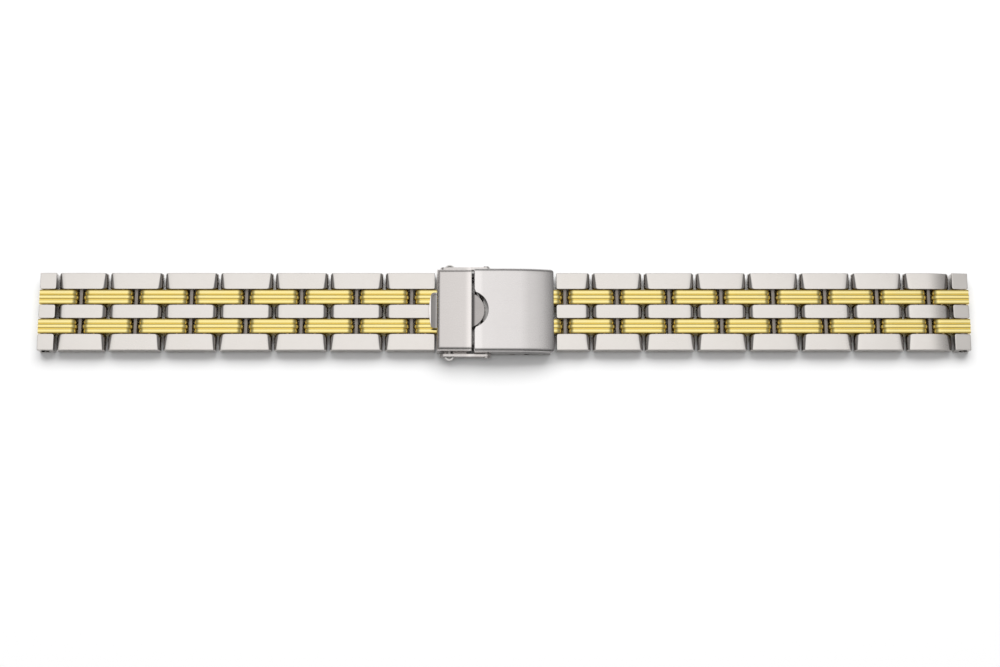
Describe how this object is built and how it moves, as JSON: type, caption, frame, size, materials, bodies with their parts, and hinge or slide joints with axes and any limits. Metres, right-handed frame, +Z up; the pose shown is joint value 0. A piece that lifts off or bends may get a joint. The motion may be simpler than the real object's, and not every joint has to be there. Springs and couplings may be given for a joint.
{
  "type": "watch bracelet",
  "caption": "Two-tone metal link watch bracelet, lying flat and closed, with hinged links, a fold-over clasp of two blades, a flip lock and spring bar bores at both ends.",
  "frame": {"origin": "under the middle of the bracelet's length and width, on the table that it lies on", "axes": "+X along the bracelet towards the end that the clasp cover is pinned to, +Y across it away from the viewer, +Z up, with the wrist side down"},
  "size_m": [0.1654, 0.0176, 0.0041],
  "materials": {
    "link_steel": "satin brushed along the bracelet on top, polished rolled ends",
    "gold_plate": "polished gold-colour plating on ribbed bars",
    "clasp_steel": "pressed sheet, lightly satin with worn hairlines and bright bends",
    "blade_steel": "plain rolled sheet, satin",
    "pin_steel": "drawn and polished wire"
  },
  "bodies": {
    "cover": {"clasp_cover": "clasp_steel", "lock_base": "clasp_steel", "flip_hinge_pins": "pin_steel", "cover_hinge_pin": "pin_steel", "spring_bar": "pin_steel"},
    "flip_lock": {"flip_lock": "clasp_steel"},
    "outer_blade": {"outer_blade": "blade_steel"},
    "inner_blade": {"inner_blade": "blade_steel", "fold_hinge_pin": "pin_steel", "catch_bar": "pin_steel"},
    "left_gold_7": {"left_gold_7": "gold_plate"},
    "left_link_7": {"left_link_7": "link_steel", "left_pins_7": "pin_steel"},
    "left_gold_6": {"left_gold_6": "gold_plate"},
    "left_link_6": {"left_link_6": "link_steel", "left_pins_6": "pin_steel"},
    "left_gold_5": {"left_gold_5": "gold_plate"},
    "left_link_5": {"left_link_5": "link_steel", "left_pins_5": "pin_steel"},
    "left_gold_4": {"left_gold_4": "gold_plate"},
    "left_link_4": {"left_link_4": "link_steel", "left_pins_4": "pin_steel"},
    "left_gold_3": {"left_gold_3": "gold_plate"},
    "left_link_3": {"left_link_3": "link_steel", "left_pins_3": "pin_steel"},
    "left_gold_2": {"left_gold_2": "gold_plate"},
    "left_link_2": {"left_link_2": "link_steel", "left_pins_2": "pin_steel"},
    "left_gold_1": {"left_gold_1": "gold_plate"},
    "left_link_1": {"left_link_1": "link_steel", "left_pins_1": "pin_steel"},
    "left_end": {"left_end_blocks": "link_steel", "left_end_gold": "gold_plate"},
    "right_link_1": {"right_link_1": "link_steel", "right_pins_1": "pin_steel", "clasp_gold": "gold_plate"},
    "right_gold_1": {"right_gold_1": "gold_plate"},
    "right_link_2": {"right_link_2": "link_steel", "right_pins_2": "pin_steel"},
    "right_gold_2": {"right_gold_2": "gold_plate"},
    "right_link_3": {"right_link_3": "link_steel", "right_pins_3": "pin_steel"},
    "right_gold_3": {"right_gold_3": "gold_plate"},
    "right_link_4": {"right_link_4": "link_steel", "right_pins_4": "pin_steel"},
    "right_gold_4": {"right_gold_4": "gold_plate"},
    "right_link_5": {"right_link_5": "link_steel", "right_pins_5": "pin_steel"},
    "right_gold_5": {"right_gold_5": "gold_plate"},
    "right_link_6": {"right_link_6": "link_steel", "right_pins_6": "pin_steel"},
    "right_gold_6": {"right_gold_6": "gold_plate"},
    "right_link_7": {"right_link_7": "link_steel", "right_pins_7": "pin_steel"},
    "right_gold_7": {"right_gold_7": "gold_plate"},
    "right_link_8": {"right_link_8": "link_steel", "right_pins_8": "pin_steel"},
    "right_end": {"right_end_blocks": "link_steel", "right_end_gold": "gold_plate"}
  },
  "joints": [
    {"name": "flip_lock_hinge", "type": "hinge", "parent": "cover", "child": "flip_lock", "pos_m": [-0.00341, 0, 0.00145], "axis": [0, 1, 0], "range_deg": [0, 85]},
    {"name": "clasp_hinge", "type": "hinge", "parent": "cover", "child": "outer_blade", "pos_m": [-0.00471, 0, 0.002], "axis": [0, 1, 0], "range_deg": [0, 160]},
    {"name": "fold_hinge", "type": "hinge", "parent": "outer_blade", "child": "inner_blade", "pos_m": [0.00374, 0, 0.00115], "axis": [0, 1, 0], "range_deg": [-160, 0]},
    {"name": "left_gold_7_pivot", "type": "hinge", "parent": "inner_blade", "child": "left_gold_7", "pos_m": [-0.00994, 0, 0.0012], "axis": [0, -1, 0], "range_deg": [-2, 15]},
    {"name": "left_link_7_pivot", "type": "hinge", "parent": "left_gold_7", "child": "left_link_7", "pos_m": [-0.01424, 0, 0.0012], "axis": [0, -1, 0], "range_deg": [-3, 15]},
    {"name": "left_gold_6_pivot", "type": "hinge", "parent": "left_link_7", "child": "left_gold_6", "pos_m": [-0.01914, 0, 0.0012], "axis": [0, -1, 0], "range_deg": [-3, 15]},
    {"name": "left_link_6_pivot", "type": "hinge", "parent": "left_gold_6", "child": "left_link_6", "pos_m": [-0.02404, 0, 0.0012], "axis": [0, -1, 0], "range_deg": [-3, 15]},
    {"name": "left_gold_5_pivot", "type": "hinge", "parent": "left_link_6", "child": "left_gold_5", "pos_m": [-0.02894, 0, 0.0012], "axis": [0, -1, 0], "range_deg": [-3, 15]},
    {"name": "left_link_5_pivot", "type": "hinge", "parent": "left_gold_5", "child": "left_link_5", "pos_m": [-0.03384, 0, 0.0012], "axis": [0, -1, 0], "range_deg": [-3, 15]},
    {"name": "left_gold_4_pivot", "type": "hinge", "parent": "left_link_5", "child": "left_gold_4", "pos_m": [-0.03874, 0, 0.0012], "axis": [0, -1, 0], "range_deg": [-3, 15]},
    {"name": "left_link_4_pivot", "type": "hinge", "parent": "left_gold_4", "child": "left_link_4", "pos_m": [-0.04364, 0, 0.0012], "axis": [0, -1, 0], "range_deg": [-3, 15]},
    {"name": "left_gold_3_pivot", "type": "hinge", "parent": "left_link_4", "child": "left_gold_3", "pos_m": [-0.04854, 0, 0.0012], "axis": [0, -1, 0], "range_deg": [-3, 15]},
    {"name": "left_link_3_pivot", "type": "hinge", "parent": "left_gold_3", "child": "left_link_3", "pos_m": [-0.05344, 0, 0.0012], "axis": [0, -1, 0], "range_deg": [-3, 15]},
    {"name": "left_gold_2_pivot", "type": "hinge", "parent": "left_link_3", "child": "left_gold_2", "pos_m": [-0.05834, 0, 0.0012], "axis": [0, -1, 0], "range_deg": [-3, 15]},
    {"name": "left_link_2_pivot", "type": "hinge", "parent": "left_gold_2", "child": "left_link_2", "pos_m": [-0.06324, 0, 0.0012], "axis": [0, -1, 0], "range_deg": [-3, 15]},
    {"name": "left_gold_1_pivot", "type": "hinge", "parent": "left_link_2", "child": "left_gold_1", "pos_m": [-0.06814, 0, 0.0012], "axis": [0, -1, 0], "range_deg": [-3, 15]},
    {"name": "left_link_1_pivot", "type": "hinge", "parent": "left_gold_1", "child": "left_link_1", "pos_m": [-0.07304, 0, 0.0012], "axis": [0, -1, 0], "range_deg": [-3, 15]},
    {"name": "left_end_pivot", "type": "hinge", "parent": "left_link_1", "child": "left_end", "pos_m": [-0.07794, 0, 0.0012], "axis": [0, -1, 0], "range_deg": [-3, 15]},
    {"name": "right_link_1_pivot", "type": "hinge", "parent": "cover", "child": "right_link_1", "pos_m": [0.00626, 0, 0.0011], "axis": [0, 1, 0], "range_deg": [-1, 15]},
    {"name": "right_gold_1_pivot", "type": "hinge", "parent": "right_link_1", "child": "right_gold_1", "pos_m": [0.01297, 0, 0.0012], "axis": [0, 1, 0], "range_deg": [-3, 15]},
    {"name": "right_link_2_pivot", "type": "hinge", "parent": "right_gold_1", "child": "right_link_2", "pos_m": [0.01761, 0, 0.0012], "axis": [0, 1, 0], "range_deg": [-3, 15]},
    {"name": "right_gold_2_pivot", "type": "hinge", "parent": "right_link_2", "child": "right_gold_2", "pos_m": [0.02227, 0, 0.0012], "axis": [0, 1, 0], "range_deg": [-3, 15]},
    {"name": "right_link_3_pivot", "type": "hinge", "parent": "right_gold_2", "child": "right_link_3", "pos_m": [0.02692, 0, 0.0012], "axis": [0, 1, 0], "range_deg": [-3, 15]},
    {"name": "right_gold_3_pivot", "type": "hinge", "parent": "right_link_3", "child": "right_gold_3", "pos_m": [0.03157, 0, 0.0012], "axis": [0, 1, 0], "range_deg": [-3, 15]},
    {"name": "right_link_4_pivot", "type": "hinge", "parent": "right_gold_3", "child": "right_link_4", "pos_m": [0.03621, 0, 0.0012], "axis": [0, 1, 0], "range_deg": [-3, 15]},
    {"name": "right_gold_4_pivot", "type": "hinge", "parent": "right_link_4", "child": "right_gold_4", "pos_m": [0.04086, 0, 0.0012], "axis": [0, 1, 0], "range_deg": [-3, 15]},
    {"name": "right_link_5_pivot", "type": "hinge", "parent": "right_gold_4", "child": "right_link_5", "pos_m": [0.04551, 0, 0.0012], "axis": [0, 1, 0], "range_deg": [-3, 15]},
    {"name": "right_gold_5_pivot", "type": "hinge", "parent": "right_link_5", "child": "right_gold_5", "pos_m": [0.05017, 0, 0.0012], "axis": [0, 1, 0], "range_deg": [-3, 15]},
    {"name": "right_link_6_pivot", "type": "hinge", "parent": "right_gold_5", "child": "right_link_6", "pos_m": [0.05482, 0, 0.0012], "axis": [0, 1, 0], "range_deg": [-3, 15]},
    {"name": "right_gold_6_pivot", "type": "hinge", "parent": "right_link_6", "child": "right_gold_6", "pos_m": [0.05946, 0, 0.0012], "axis": [0, 1, 0], "range_deg": [-3, 15]},
    {"name": "right_link_7_pivot", "type": "hinge", "parent": "right_gold_6", "child": "right_link_7", "pos_m": [0.06412, 0, 0.0012], "axis": [0, 1, 0], "range_deg": [-3, 15]},
    {"name": "right_gold_7_pivot", "type": "hinge", "parent": "right_link_7", "child": "right_gold_7", "pos_m": [0.06877, 0, 0.0012], "axis": [0, 1, 0], "range_deg": [-3, 15]},
    {"name": "right_link_8_pivot", "type": "hinge", "parent": "right_gold_7", "child": "right_link_8", "pos_m": [0.07341, 0, 0.0012], "axis": [0, 1, 0], "range_deg": [-3, 15]},
    {"name": "right_end_pivot", "type": "hinge", "parent": "right_link_8", "child": "right_end", "pos_m": [0.07806, 0, 0.0012], "axis": [0, 1, 0], "range_deg": [-3, 15]}
  ],
  "couplings": [
    {"joint": "fold_hinge", "follows": "clasp_hinge", "ratio": -1}
  ]
}
